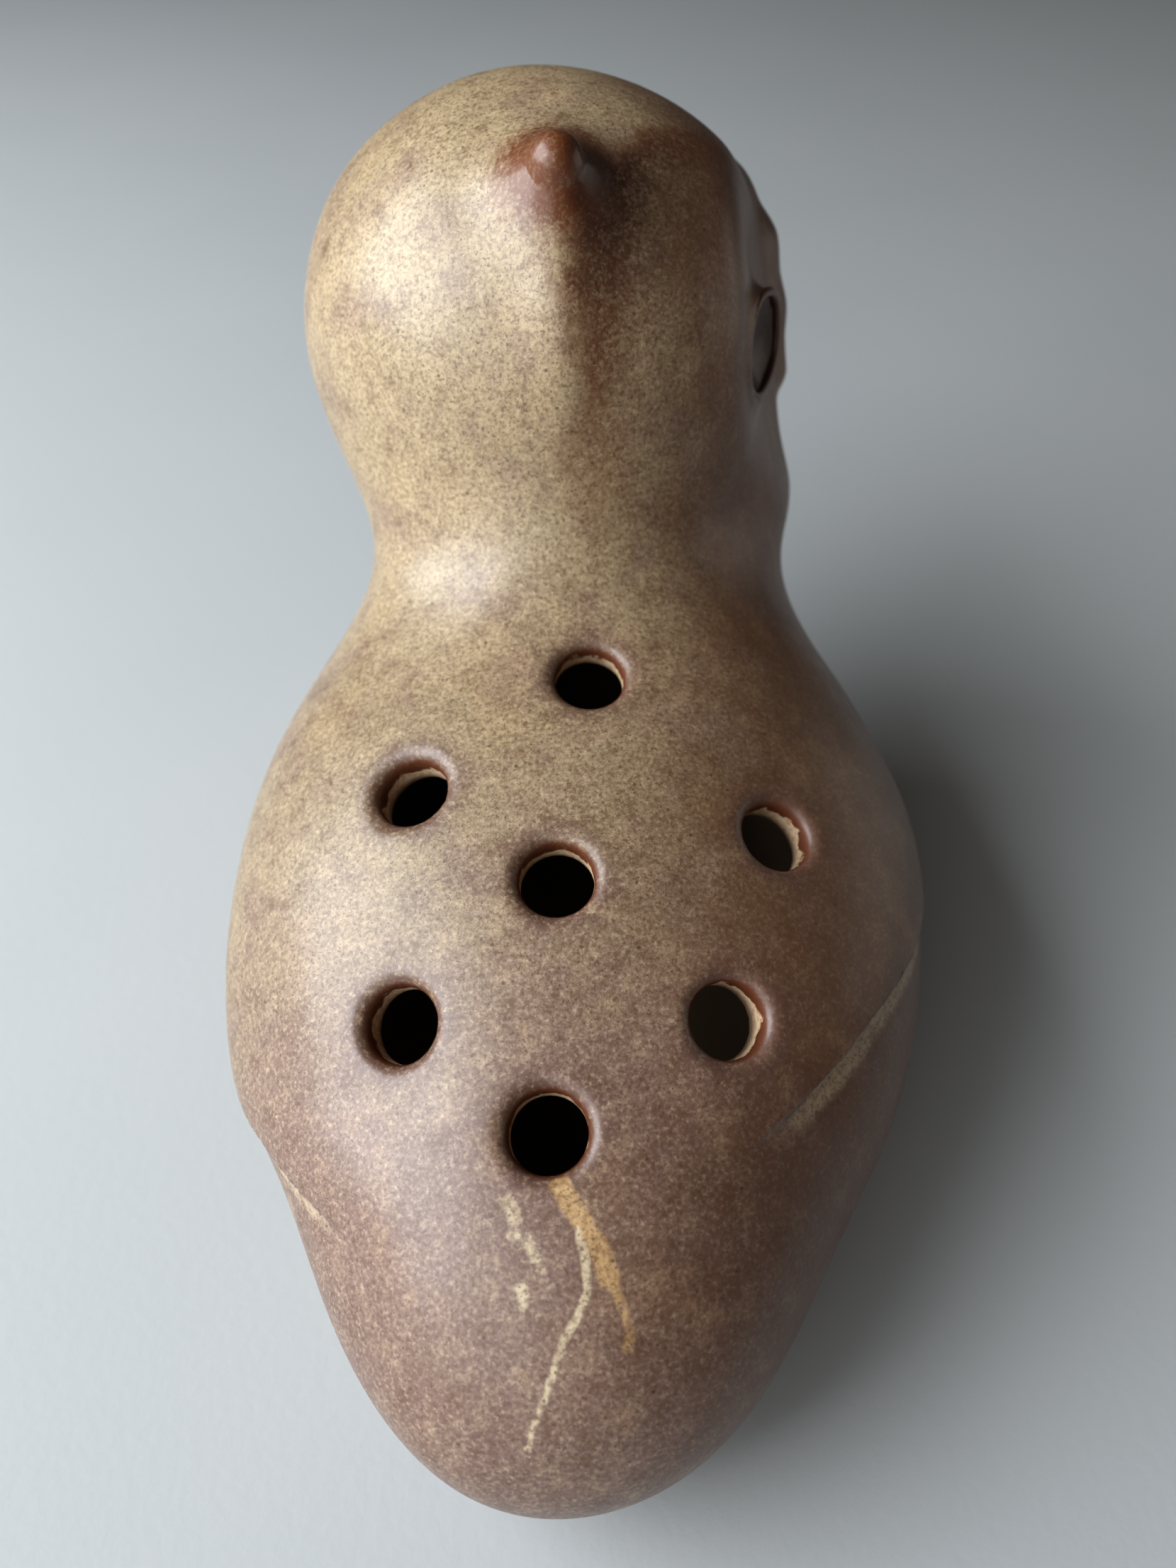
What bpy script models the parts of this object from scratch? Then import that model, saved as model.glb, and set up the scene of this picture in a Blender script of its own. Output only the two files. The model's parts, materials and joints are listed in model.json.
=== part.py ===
"""An owl-shaped clay ocarina, as the clay pieces a potter makes and joins.

Metres, +Z up. The flat foot rests on z = 0, and +Y runs from the mouthpiece in the tail to the head.
The owl sits on its belly and looks over its right shoulder, with its head cocked.
"""

import math

import bmesh
import bpy
import numpy as np
from mathutils import Matrix, Vector

MM = 0.001

# Driving dimensions, in millimetres
WALL = 5.0  # thickness of the clay
GAP = 0.3  # left between neighbouring pieces
BORE = 7.6  # diameter of a finger hole
THUMB_BORE = 8.4
OUTER_FACET = 4.8  # size of a facet on the outside
INNER_FACET = 6.5  # and inside the chamber
LARGE = 300.0  # a cutter that reaches past the whole object

# The lumps of clay the form is blended from: centre, half sizes, and nose-up pitch in degrees
BODY = ((0.0, 9.5, 26.7), (41.0, 53.5, 26.5), 14.0)
BREAST = ((0.0, 37.0, 24.2), (29.0, 29.0, 26.0), 0.0)
TAIL = ((-1.0, -32.5, 19.2), (21.0, 22.0, 16.0), 18.0)
HEAD = ((-3.7, 67.5, 71.2), (30.6, 29.0, 29.0), 0.0)
BREAST_BLEND = 12.0
TAIL_BLEND = 13.0
NECK_BLEND = 24.0
CHIN_BLEND = 8.0
DISH_BLEND = 2.0

# The head's own directions: where it faces, its crown, and its right side
FACING_YAW = math.radians(20.0)
HEAD_ROLL = math.radians(25.0)
FACING = Vector((math.cos(FACING_YAW), math.sin(FACING_YAW), 0.0))
HEAD_RIGHT = Matrix.Rotation(-HEAD_ROLL, 3, FACING) @ FACING.cross(Vector((0.0, 0.0, 1.0)))
CROWN = HEAD_RIGHT.cross(FACING)
HEAD_CENTRE = Vector(HEAD[0])

CHIN_REACH = 19.0  # forward of the head's centre, and as far below it
CHIN = (tuple(HEAD_CENTRE + (FACING - CROWN) * CHIN_REACH), (12.0, 12.0, 12.0), 0.0)

# Each facial disc is a shallow dish swept between two places on the face, given by yaw and pitch
DISH_RADIUS = 46.0
DISH_FLOOR = 27.3  # from the head's centre to the dish's floor
DISH_ENDS = ((33.0, -13.0), (31.0, 8.0))
EYE_YAW, EYE_PITCH = 38.5, -10.5
EYE_REACH = 28.9  # from the head's centre to the top of an eye's rim
EYE_AXIS_YAW = 42.0  # the eyes look a little outwards
EYE_INNER, EYE_OUTER, EYE_ROUNDING = 5.0, 6.8, 0.5  # radii of the rim, and of its edges
EYE_ROOT = 6.0  # below the rim's top, before its foot is shaped to the dish
BEAK_PITCH = 3.0
BEAK_WIDTH, BEAK_LENGTH, BEAK_DEPTH = 6.4, 26.0, 3.8

# The ear tufts, each a blunt cone
TUFT_BACK = -0.14  # how far a tuft sits behind the ears' line, as a share of its direction
TUFT_LEAN = math.radians(58.0)  # from the crown towards the side
TUFT_BASE, TUFT_TIP = 7.0, 3.3  # radii
TUFT_ROUNDING = 2.2
TUFT_HEIGHT = 6.6  # above the head
TUFT_ROOT = 3.0  # below the head's skin, before the foot is shaped to it

# The wings. Each lower edge has its height at the shoulder, its climb, and where along Y it climbs.
RIGHT_WING_EDGE = (33.0, 3.7, 6.0, -16.0)
LEFT_WING_EDGE = (19.5, 11.5, -3.0, -40.0)
WING_THICKNESS = 1.2
WING_WIDTH = 11.0  # from the lower edge to the upper, at the middle
WING_FRONT, WING_REAR = 27.0, -33.0
WING_INSIDE = 20.5  # nearest the middle of the back that a wing comes
WING_STEPS = 20

# Finger holes in the back, by place in plan, from the neck to the tail
FINGER_HOLES = (
    (1.7, 18.9),
    (-17.5, 6.2),
    (21.8, 2.3),
    (-1.7, -5.2),
    (-17.3, -17.3),
    (15.3, -17.3),
    (-2.3, -28.1),
)
THUMB_HOLES = ((-14.0, 14.0), (14.0, 14.0))
NECK_HOLE_LEAN = math.radians(17.0)  # of the hole by the neck, towards the tail

# Planes between pieces: a point and a direction
SEAM_POINT, SEAM_PITCH = Vector(BODY[0]), math.radians(8.0)
SEAM_UP = Vector((0.0, -math.sin(SEAM_PITCH), math.cos(SEAM_PITCH)))
NECK_POINT, NECK_UP = Vector((0.0, 50.0, 45.2)), Vector((0.0, 0.593, 0.805)).normalized()
FACE_POINT = HEAD_CENTRE + FACING * 8.0
TAIL_CUT_Y = -38.0

# The whistle in the tail
WINDWAY_WIDTH, WINDWAY_HEIGHT = 10.0, 1.6
WINDWAY_END = Vector((-1.0, TAIL_CUT_Y, 5.0))
WINDWAY_SLOPE = math.radians(21.0)
WINDWAY_REACH = 38.0  # longer than the tail, so that it opens at the end
WINDOW_LENGTH = 6.0
LABIUM_LENGTH = 9.0
LABIUM_FLOOR, LABIUM_ROOF = 1.6, 5.6
LABIUM_EDGE, LABIUM_EDGE_THICKNESS = 3.4, 0.5

# The coils pressed over the seams inside
COIL_RADIUS = 1.4
COIL_CLEARANCE = COIL_RADIUS + GAP * 5.0
COIL_POINTS = 36

# How fine the shapes are
CREASE_SMOOTHING = 12  # the first pass takes out the creases
FACET_SMOOTHING = 2  # the second only evens the facets
SEARCH_STEP = 0.1  # along a line, to where it meets the clay
DISH_SEARCH_STEP = 0.02
BORE_SIDES = 24
TUFT_SIDES = 24
TUFT_BEVEL_STEPS = 4
EYE_SIDES = 32
BEAK_SIDES = 20
BEAK_RINGS = 12

# How vertices are settled on the blended form
SLOPE_STEP = 0.05  # half the length over which a slope is measured
LEAST_STEEPNESS = 0.1  # keeps a vertex in a crease from being thrown far
PULLS = 8  # enough for every vertex to settle

# Glazes: colour and roughness
BACK_GLAZE = ((0.36, 0.24, 0.15), 0.38)
BELLY_GLAZE = ((0.33, 0.21, 0.14), 0.40)
HEAD_GLAZE = ((0.42, 0.28, 0.15), 0.36)
FACE_GLAZE = ((0.34, 0.20, 0.13), 0.36)
TUFT_GLAZE = ((0.25, 0.08, 0.03), 0.30)
EYE_GLAZE = ((0.22, 0.09, 0.06), 0.30)
WING_GLAZE = ((0.38, 0.26, 0.17), 0.38)
BARE_CLAY = ((0.62, 0.47, 0.33), 0.85)


def clear_scene():
    for item in list(bpy.data.objects):
        bpy.data.objects.remove(item)


def new_collection(name, hidden):
    made = bpy.data.collections.new(name)
    bpy.context.scene.collection.children.link(made)
    made.hide_render = hidden
    return made


# The blended form


def ellipsoid(points, centre, radii, pitch):
    """Roughly the distance from an ellipsoid's surface, negative inside."""
    tilt = math.radians(pitch)
    x, y, z = (points - np.array(centre)).T
    along = y * math.cos(tilt) + z * math.sin(tilt)
    above = z * math.cos(tilt) - y * math.sin(tilt)
    local = np.stack([x, along, above], axis=1)
    near = np.linalg.norm(local / radii, axis=1)
    slope = np.linalg.norm(local / np.square(radii), axis=1)
    return near * (near - 1.0) / np.maximum(slope, 1e-9)


def swept_ball(points, start, end, radius):
    """Distance from a ball swept along a line."""
    start, axis = np.array(start), np.array(end - start)
    share = np.clip((points - start) @ axis / (axis @ axis), 0.0, 1.0)
    return np.linalg.norm(points - start - share[:, None] * axis, axis=1) - radius


def blend(first, second, width):
    """The nearer of two distances, with the crease between them filled over a width."""
    overlap = np.maximum(width - np.abs(first - second), 0.0)
    return np.minimum(first, second) - overlap**2 / (4.0 * width)


def carve(solid, hollow, width):
    """What is left of a solid, with the new edges rounded over a width."""
    return -blend(-solid, hollow, width)


def ramp(value, start, end):
    """Rises smoothly from 0 at start to 1 at end."""
    share = min(max((value - start) / (end - start), 0.0), 1.0)
    return share * share * (3.0 - 2.0 * share)


def head_direction(yaw, pitch):
    """A direction from the head's centre, by yaw from its facing towards its right, and by pitch."""
    turn, lift = math.radians(yaw), math.radians(pitch)
    level = FACING * math.cos(turn) + HEAD_RIGHT * math.sin(turn)
    return level * math.cos(lift) + CROWN * math.sin(lift)


def clay_distance(points):
    """Distance from the outside of the clay, in millimetres, negative inside."""
    body = blend(ellipsoid(points, *BODY), ellipsoid(points, *BREAST), BREAST_BLEND)
    body = blend(body, ellipsoid(points, *TAIL), TAIL_BLEND)
    head = blend(ellipsoid(points, *HEAD), ellipsoid(points, *CHIN), CHIN_BLEND)
    for side in (1, -1):
        reach = DISH_FLOOR + DISH_RADIUS
        low, high = (head_direction(side * yaw, pitch) * reach for yaw, pitch in DISH_ENDS)
        dish = swept_ball(points, HEAD_CENTRE + low, HEAD_CENTRE + high, DISH_RADIUS)
        head = carve(head, dish, DISH_BLEND)
    return np.maximum(blend(body, head, NECK_BLEND), -points[:, 2])


def slope_of(points):
    columns = []
    for axis in np.eye(3) * SLOPE_STEP:
        columns.append(clay_distance(points + axis) - clay_distance(points - axis))
    return np.stack(columns, axis=1) / (2.0 * SLOPE_STEP)


def pull_to_level(mesh, level):
    """Moves each vertex onto the surface that lies this far outside the clay, or inside when negative."""
    points = np.array([vertex.co for vertex in mesh.vertices], float) / MM
    for _ in range(PULLS):
        slope = slope_of(points)
        excess = clay_distance(points) - level
        points -= slope * (excess / np.maximum(np.sum(slope**2, axis=1), LEAST_STEEPNESS))[:, None]
    mesh.vertices.foreach_set("co", (points * MM).astype(np.float32).ravel())
    mesh.update()


def baked(item, name):
    """The object's evaluated mesh, with its place and modifiers applied, in place of the object."""
    bpy.context.view_layer.update()
    graph = bpy.context.evaluated_depsgraph_get()
    mesh = bpy.data.meshes.new_from_object(item.evaluated_get(graph))
    mesh.transform(item.matrix_world)
    mesh.name = name
    bpy.data.objects.remove(item)
    return mesh


def lump(centre, radii, pitch):
    bpy.ops.mesh.primitive_uv_sphere_add(segments=32, ring_count=16, radius=MM, location=Vector(centre) * MM)
    item = bpy.context.object
    item.scale = radii
    item.rotation_euler.x = math.radians(pitch)
    return item


def clay_form(name, level, facet):
    """A closed mesh of the whole blended form, grown by level, with facets of about this size."""
    lumps = []
    for centre, radii, pitch in (BODY, BREAST, TAIL, HEAD, CHIN):
        lumps.append(lump(centre, [radius + level for radius in radii], pitch))
    joined = lumps[0]
    with bpy.context.temp_override(active_object=joined, selected_editable_objects=lumps):
        bpy.ops.object.join()
    mesh = baked(joined, name)
    for softening in (CREASE_SMOOTHING, FACET_SMOOTHING):
        form = bpy.data.objects.new(name, mesh)
        bpy.context.scene.collection.objects.link(form)
        remesh = form.modifiers.new("even facets", "REMESH")
        remesh.mode = "VOXEL"
        remesh.voxel_size = facet * MM
        smooth = form.modifiers.new("soft creases", "SMOOTH")
        smooth.iterations = softening
        mesh = baked(form, name)
        pull_to_level(mesh, level)
    return mesh


# Objects


def material(name, colour, roughness):
    made = bpy.data.materials.new(name)
    made.use_nodes = True
    made.diffuse_color = (*colour, 1.0)
    shader = made.node_tree.nodes["Principled BSDF"]
    shader.inputs["Base Color"].default_value = (*colour, 1.0)
    shader.inputs["Roughness"].default_value = roughness
    shader.inputs["Metallic"].default_value = 0.0
    return made


def add_part(name, mesh, finish, origin=(0.0, 0.0, 0.0)):
    """A named piece with its own material and its origin at a point given in millimetres."""
    place = Vector(origin) * MM
    mesh.transform(Matrix.Translation(-place))
    item = bpy.data.objects.new(name, mesh)
    item.location = place
    colour, roughness = finish
    mesh.materials.clear()
    mesh.materials.append(material(name, colour, roughness))
    parts.objects.link(item)
    return item


def add_cutter(name, mesh):
    item = bpy.data.objects.new(name, mesh)
    item.hide_render = True
    item.display_type = "WIRE"
    cutters.objects.link(item)
    return item


def apply_boolean(item, cutter, operation="DIFFERENCE"):
    """Cuts with the Manifold solver: the Exact one loses the whole shell at a tilted plane."""
    step = item.modifiers.new(cutter.name, "BOOLEAN")
    step.operation = operation
    step.solver = "MANIFOLD"
    step.object = cutter


def box_mesh(name, size, matrix):
    """A box of this size in millimetres, placed by a matrix in millimetres."""
    made = bmesh.new()
    bmesh.ops.create_cube(made, size=1.0, matrix=matrix @ Matrix.Diagonal((*size, 1.0)))
    bmesh.ops.scale(made, vec=(MM, MM, MM), verts=made.verts)
    mesh = bpy.data.meshes.new(name)
    made.to_mesh(mesh)
    made.free()
    return mesh


def frame_at(point, up, forward=Vector((0.0, 1.0, 0.0))):
    """A matrix at a point, with its z axis along up and its y axis as near forward as it can be."""
    z = Vector(up).normalized()
    x = Vector(forward).cross(z).normalized()
    turned = Matrix((x, z.cross(x), z)).transposed()
    return Matrix.Translation(Vector(point)) @ turned.to_4x4()


def half_space(name, point, up):
    """A cutter that removes everything beyond a plane, on the side that up points to."""
    turned = Vector(up).to_track_quat("Z", "Y").to_matrix().to_4x4()
    place = Matrix.Translation(Vector(point) + Vector(up) * (LARGE / 2.0)) @ turned
    return add_cutter(name, box_mesh(name, (LARGE, LARGE, LARGE), place))


def cylinder_into(made, base, top, radius, segments=BORE_SIDES):
    """Adds a closed cylinder between two points, in millimetres, to a bmesh."""
    axis = top - base
    place = Matrix.Translation((base + top) / 2.0) @ axis.to_track_quat("Z", "Y").to_matrix().to_4x4()
    bmesh.ops.create_cone(
        made,
        cap_ends=True,
        segments=segments,
        radius1=radius,
        radius2=radius,
        depth=axis.length,
        matrix=place,
    )


def surface_point(x, y, downwards):
    """Where a vertical line meets the outside of the body, coming from above or from below."""
    heights = np.arange(0.0, HEAD_CENTRE.z, SEARCH_STEP)
    line = np.stack([np.full_like(heights, x), np.full_like(heights, y), heights], axis=1)
    inside = heights[clay_distance(line) < 0.0]
    height = inside.max() if downwards else inside.min()
    point = np.array([[x, y, height]])
    return Vector(point[0]), Vector(slope_of(point)[0]).normalized()


def bores(name, places, diameter, downwards, first_lean=0.0):
    """Cutters square to the surface at each place but for the first, which may lean; all in one mesh."""
    made = bmesh.new()
    for index, (x, y) in enumerate(places):
        point, normal = surface_point(x, y, downwards)
        if index == 0:
            normal = (normal - Vector((0.0, math.tan(first_lean), 0.0))).normalized()
        cylinder_into(made, point - normal * (WALL * 2.0), point + normal * WALL, diameter / 2.0)
    bmesh.ops.scale(made, vec=(MM, MM, MM), verts=made.verts)
    mesh = bpy.data.meshes.new(name)
    made.to_mesh(mesh)
    made.free()
    return add_cutter(name, mesh)


# The pieces


def make_shared_cutters(inner):
    """Cutters that more than one shell uses."""
    cavity = add_cutter("chamber", inner)
    shared = {"chamber": cavity}
    half = GAP / 2.0
    planes = (
        ("below_seam", SEAM_POINT + SEAM_UP * half, -SEAM_UP),
        ("above_seam", SEAM_POINT - SEAM_UP * half, SEAM_UP),
        ("below_neck", NECK_POINT + NECK_UP * half, -NECK_UP),
        ("above_neck", NECK_POINT - NECK_UP * half, NECK_UP),
        ("behind_face", FACE_POINT + FACING * half, -FACING),
        ("before_face", FACE_POINT - FACING * half, FACING),
        ("behind_tail_cut", Vector((0.0, TAIL_CUT_Y + half, 0.0)), Vector((0.0, -1.0, 0.0))),
        ("before_tail_cut", Vector((0.0, TAIL_CUT_Y - half, 0.0)), Vector((0.0, 1.0, 0.0))),
    )
    for name, point, up in planes:
        shared[name] = half_space(name, point, up)
    return shared


def make_shell(name, outer, finish, cuts, origin):
    item = add_part(name, outer.copy(), finish, origin)
    for cutter in cuts:
        apply_boolean(item, cutter)
    return item


def windway_frame():
    """At the windway's inner end, with the y axis along the duct towards the window."""
    forward = Vector((0.0, math.cos(WINDWAY_SLOPE), -math.sin(WINDWAY_SLOPE)))
    up = Vector((0.0, math.sin(WINDWAY_SLOPE), math.cos(WINDWAY_SLOPE)))
    return frame_at(WINDWAY_END, up, forward)


def make_windway_cutter():
    past_end = 2.0
    length = WINDWAY_REACH + past_end
    place = windway_frame() @ Matrix.Translation((0.0, past_end - length / 2.0, 0.0))
    return add_cutter("windway", box_mesh("windway", (WINDWAY_WIDTH, length, WINDWAY_HEIGHT), place))


def make_window_cutter():
    """The window in the belly with the notch for the labium beyond it."""
    length = WINDOW_LENGTH + LABIUM_LENGTH
    centre = Matrix.Translation((WINDWAY_END.x, TAIL_CUT_Y + length / 2.0 - GAP, 0.0))
    size = (WINDWAY_WIDTH, length + GAP * 2.0, WALL * 4.0)
    return add_cutter("window", box_mesh("window", size, centre))


def make_labium():
    """The blade that splits the breath: a wedge with its edge facing the windway."""
    width = WINDWAY_WIDTH - GAP * 2.0
    back = TAIL_CUT_Y + WINDOW_LENGTH + LABIUM_LENGTH - GAP
    edge = TAIL_CUT_Y + WINDOW_LENGTH
    made = bmesh.new()
    place = Matrix.Translation((WINDWAY_END.x, (back + edge) / 2.0, (LABIUM_FLOOR + LABIUM_ROOF) / 2.0))
    size = (width, back - edge, LABIUM_ROOF - LABIUM_FLOOR, 1.0)
    bmesh.ops.create_cube(made, size=1.0, matrix=place @ Matrix.Diagonal(size))
    for vertex in made.verts:
        if vertex.co.y < (back + edge) / 2.0:
            side = 1.0 if vertex.co.z > LABIUM_EDGE else -1.0
            vertex.co.z = LABIUM_EDGE + side * LABIUM_EDGE_THICKNESS / 2.0
    bmesh.ops.scale(made, vec=(MM, MM, MM), verts=made.verts)
    mesh = bpy.data.meshes.new("labium")
    made.to_mesh(mesh)
    made.free()
    return add_part("labium", mesh, BARE_CLAY, (WINDWAY_END.x, edge, LABIUM_EDGE))


def seam_loop(centre, first, second, limits):
    """Points of a closed loop in a plane, lying just inside the chamber's wall and clear of the limits."""
    loop = []
    reach = np.arange(COIL_CLEARANCE, LARGE / 3.0, SEARCH_STEP)
    for index in range(COIL_POINTS):
        turn = 2.0 * math.pi * index / COIL_POINTS
        direction = first * math.cos(turn) + second * math.sin(turn)
        line = np.array(centre) + reach[:, None] * np.array(direction)
        blocked = clay_distance(line) + WALL
        for point, up in limits:
            blocked = np.maximum(blocked, (line - np.array(point)) @ np.array(up))
        wall = np.argmax(blocked > 0.0)
        loop.append(Vector(centre) + direction * (reach[wall] - COIL_CLEARANCE))
    return loop


def make_coil(name, centre, first, second, limits):
    """A soft clay coil pressed over a seam on the inside."""
    loop = seam_loop(centre, first, second, limits)
    curve = bpy.data.curves.new(name, "CURVE")
    curve.dimensions = "3D"
    curve.bevel_depth = COIL_RADIUS * MM
    curve.bevel_resolution = 0
    spline = curve.splines.new("POLY")
    spline.points.add(len(loop) - 1)
    for point, place in zip(spline.points, loop):
        point.co = (*(place * MM), 1.0)
    spline.use_cyclic_u = True
    item = bpy.data.objects.new(name, curve)
    bpy.context.scene.collection.objects.link(item)
    return add_part(name, baked(item, name), BARE_CLAY, centre)


def make_coils():
    x, y = Vector((1.0, 0.0, 0.0)), Vector((0.0, 1.0, 0.0))
    tail_limit = (Vector((0.0, TAIL_CUT_Y, 0.0)), -y)
    seam_forward = SEAM_UP.cross(x)
    make_coil("body_seam_coil", SEAM_POINT, x, seam_forward, (tail_limit,))
    neck_middle = Vector((HEAD_CENTRE.x / 2.0, NECK_POINT.y, NECK_POINT.z))
    make_coil("neck_seam_coil", neck_middle, x, NECK_UP.cross(x), ())
    above_neck = (NECK_POINT + NECK_UP * (COIL_RADIUS * 2.0), -NECK_UP)
    make_coil("head_seam_coil", FACE_POINT, HEAD_RIGHT, CROWN, (above_neck,))


def make_tuft(name, side, head_skin):
    """An ear tuft: a blunt cone whose foot follows the head."""
    direction = CROWN * math.cos(TUFT_LEAN) + HEAD_RIGHT * (side * math.sin(TUFT_LEAN)) + FACING * TUFT_BACK
    direction.normalize()
    head_radius = sum(HEAD[1]) / 3.0
    foot, tip = head_radius - TUFT_ROOT, head_radius + TUFT_HEIGHT
    made = bmesh.new()
    place = Matrix.Translation(HEAD_CENTRE + direction * (foot + tip) / 2.0)
    turned = place @ direction.to_track_quat("Z", "Y").to_matrix().to_4x4()
    bmesh.ops.create_cone(
        made,
        cap_ends=True,
        segments=TUFT_SIDES,
        radius1=TUFT_BASE,
        radius2=TUFT_TIP,
        depth=tip - foot,
        matrix=turned,
    )
    bmesh.ops.scale(made, vec=(MM, MM, MM), verts=made.verts)
    mesh = bpy.data.meshes.new(name)
    made.to_mesh(mesh)
    made.free()
    item = add_part(name, mesh, TUFT_GLAZE, HEAD_CENTRE + direction * head_radius)
    rounded = item.modifiers.new("rounded tip", "BEVEL")
    rounded.width = TUFT_ROUNDING * MM
    rounded.segments = TUFT_BEVEL_STEPS
    apply_boolean(item, head_skin)


def dish_point(yaw, pitch):
    """Where a direction from the head's centre meets the outside, with the outward normal there."""
    direction = head_direction(yaw, pitch)
    reach = np.arange(DISH_FLOOR / 2.0, DISH_FLOOR * 1.5, DISH_SEARCH_STEP)
    line = np.array(HEAD_CENTRE) + reach[:, None] * np.array(direction)
    point = line[np.argmax(clay_distance(line) > 0.0)]
    return Vector(point), Vector(slope_of(point[None, :])[0]).normalized()


def turned_ring(name, profile, place, segments=EYE_SIDES):
    """A closed ring with this profile of radius and height, placed by a matrix, all in millimetres."""
    made = bmesh.new()
    rings = []
    for index in range(segments):
        turn = 2.0 * math.pi * index / segments
        around = Vector((math.cos(turn), math.sin(turn), 0.0))
        corners = [around * radius + Vector((0.0, 0.0, height)) for radius, height in profile]
        rings.append([made.verts.new(place @ corner * MM) for corner in corners])
    for index, ring in enumerate(rings):
        following = rings[(index + 1) % segments]
        for step in range(len(profile)):
            after = (step + 1) % len(profile)
            made.faces.new((ring[step], following[step], following[after], ring[after]))
    bmesh.ops.recalc_face_normals(made, faces=made.faces)
    mesh = bpy.data.meshes.new(name)
    made.to_mesh(mesh)
    made.free()
    return mesh


def make_eye_ring(name, side, head_skin):
    """The raised rim of an eye: a collar of clay whose foot follows the disc."""
    outwards = head_direction(side * EYE_AXIS_YAW, EYE_PITCH)
    top = HEAD_CENTRE + head_direction(side * EYE_YAW, EYE_PITCH) * EYE_REACH
    profile = (
        (EYE_OUTER, -EYE_ROOT),
        (EYE_OUTER, -EYE_ROUNDING),
        (EYE_OUTER - EYE_ROUNDING, 0.0),
        (EYE_INNER + EYE_ROUNDING, 0.0),
        (EYE_INNER, -EYE_ROUNDING),
        (EYE_INNER, -EYE_ROOT),
    )
    place = Matrix.Translation(top) @ outwards.to_track_quat("Z", "Y").to_matrix().to_4x4()
    item = add_part(name, turned_ring(name, profile, place), EYE_GLAZE, top)
    apply_boolean(item, head_skin)


def make_beak(head_skin):
    """The beak and the bridge above it: a long egg of clay laid between the discs."""
    point, normal = dish_point(0.0, BEAK_PITCH)
    bpy.ops.mesh.primitive_uv_sphere_add(segments=BEAK_SIDES, ring_count=BEAK_RINGS, radius=MM)
    egg = bpy.context.object
    turned = frame_at(Vector(), normal, CROWN)
    stretched = Matrix.Diagonal((BEAK_WIDTH / 2.0, BEAK_LENGTH / 2.0, BEAK_DEPTH, 1.0))
    egg.matrix_world = Matrix.Translation(point * MM) @ turned @ stretched
    item = add_part("beak", baked(egg, "beak"), TUFT_GLAZE, point)
    apply_boolean(item, head_skin)


def wing_outline(name, side, edge):
    """A cutter whose side view is the wing's leaf shape: its lower edge as given, its upper edge rounded."""
    low, climb, start, end = edge
    middle, half = (WING_FRONT + WING_REAR) / 2.0, (WING_FRONT - WING_REAR) / 2.0
    lower, upper = [], []
    for index in range(WING_STEPS + 1):
        y = WING_FRONT - 2.0 * half * index / WING_STEPS
        height = low + climb * ramp(y, start, end)
        lower.append((y, height))
        if 0 < index < WING_STEPS:
            upper.append((y, height + WING_WIDTH * math.sqrt(1.0 - ((y - middle) / half) ** 2)))
    outline = lower + upper[::-1]
    made = bmesh.new()
    inner = [made.verts.new(Vector((side * WING_INSIDE, y, z)) * MM) for y, z in outline]
    outer = [made.verts.new(Vector((side * LARGE, y, z)) * MM) for y, z in outline]
    made.faces.new(inner)
    made.faces.new(outer)
    for index in range(len(outline)):
        after = (index + 1) % len(outline)
        made.faces.new((inner[index], inner[after], outer[after], outer[index]))
    bmesh.ops.recalc_face_normals(made, faces=made.faces)
    mesh = bpy.data.meshes.new(name)
    made.to_mesh(mesh)
    made.free()
    return add_cutter(name, mesh)


def make_wing(name, side, edge, grown, cuts):
    """A folded wing: a thin slab of clay wrapped over the flank."""
    origin = (side * BODY[1][0], (WING_FRONT + WING_REAR) / 2.0, edge[0] + WING_WIDTH / 2.0)
    item = add_part(name, grown.copy(), WING_GLAZE, origin)
    apply_boolean(item, wing_outline(name + "_outline", side, edge), "INTERSECT")
    for cutter in cuts:
        apply_boolean(item, cutter)


def shade_round(item):
    for face in item.data.polygons:
        face.use_smooth = True


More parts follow.
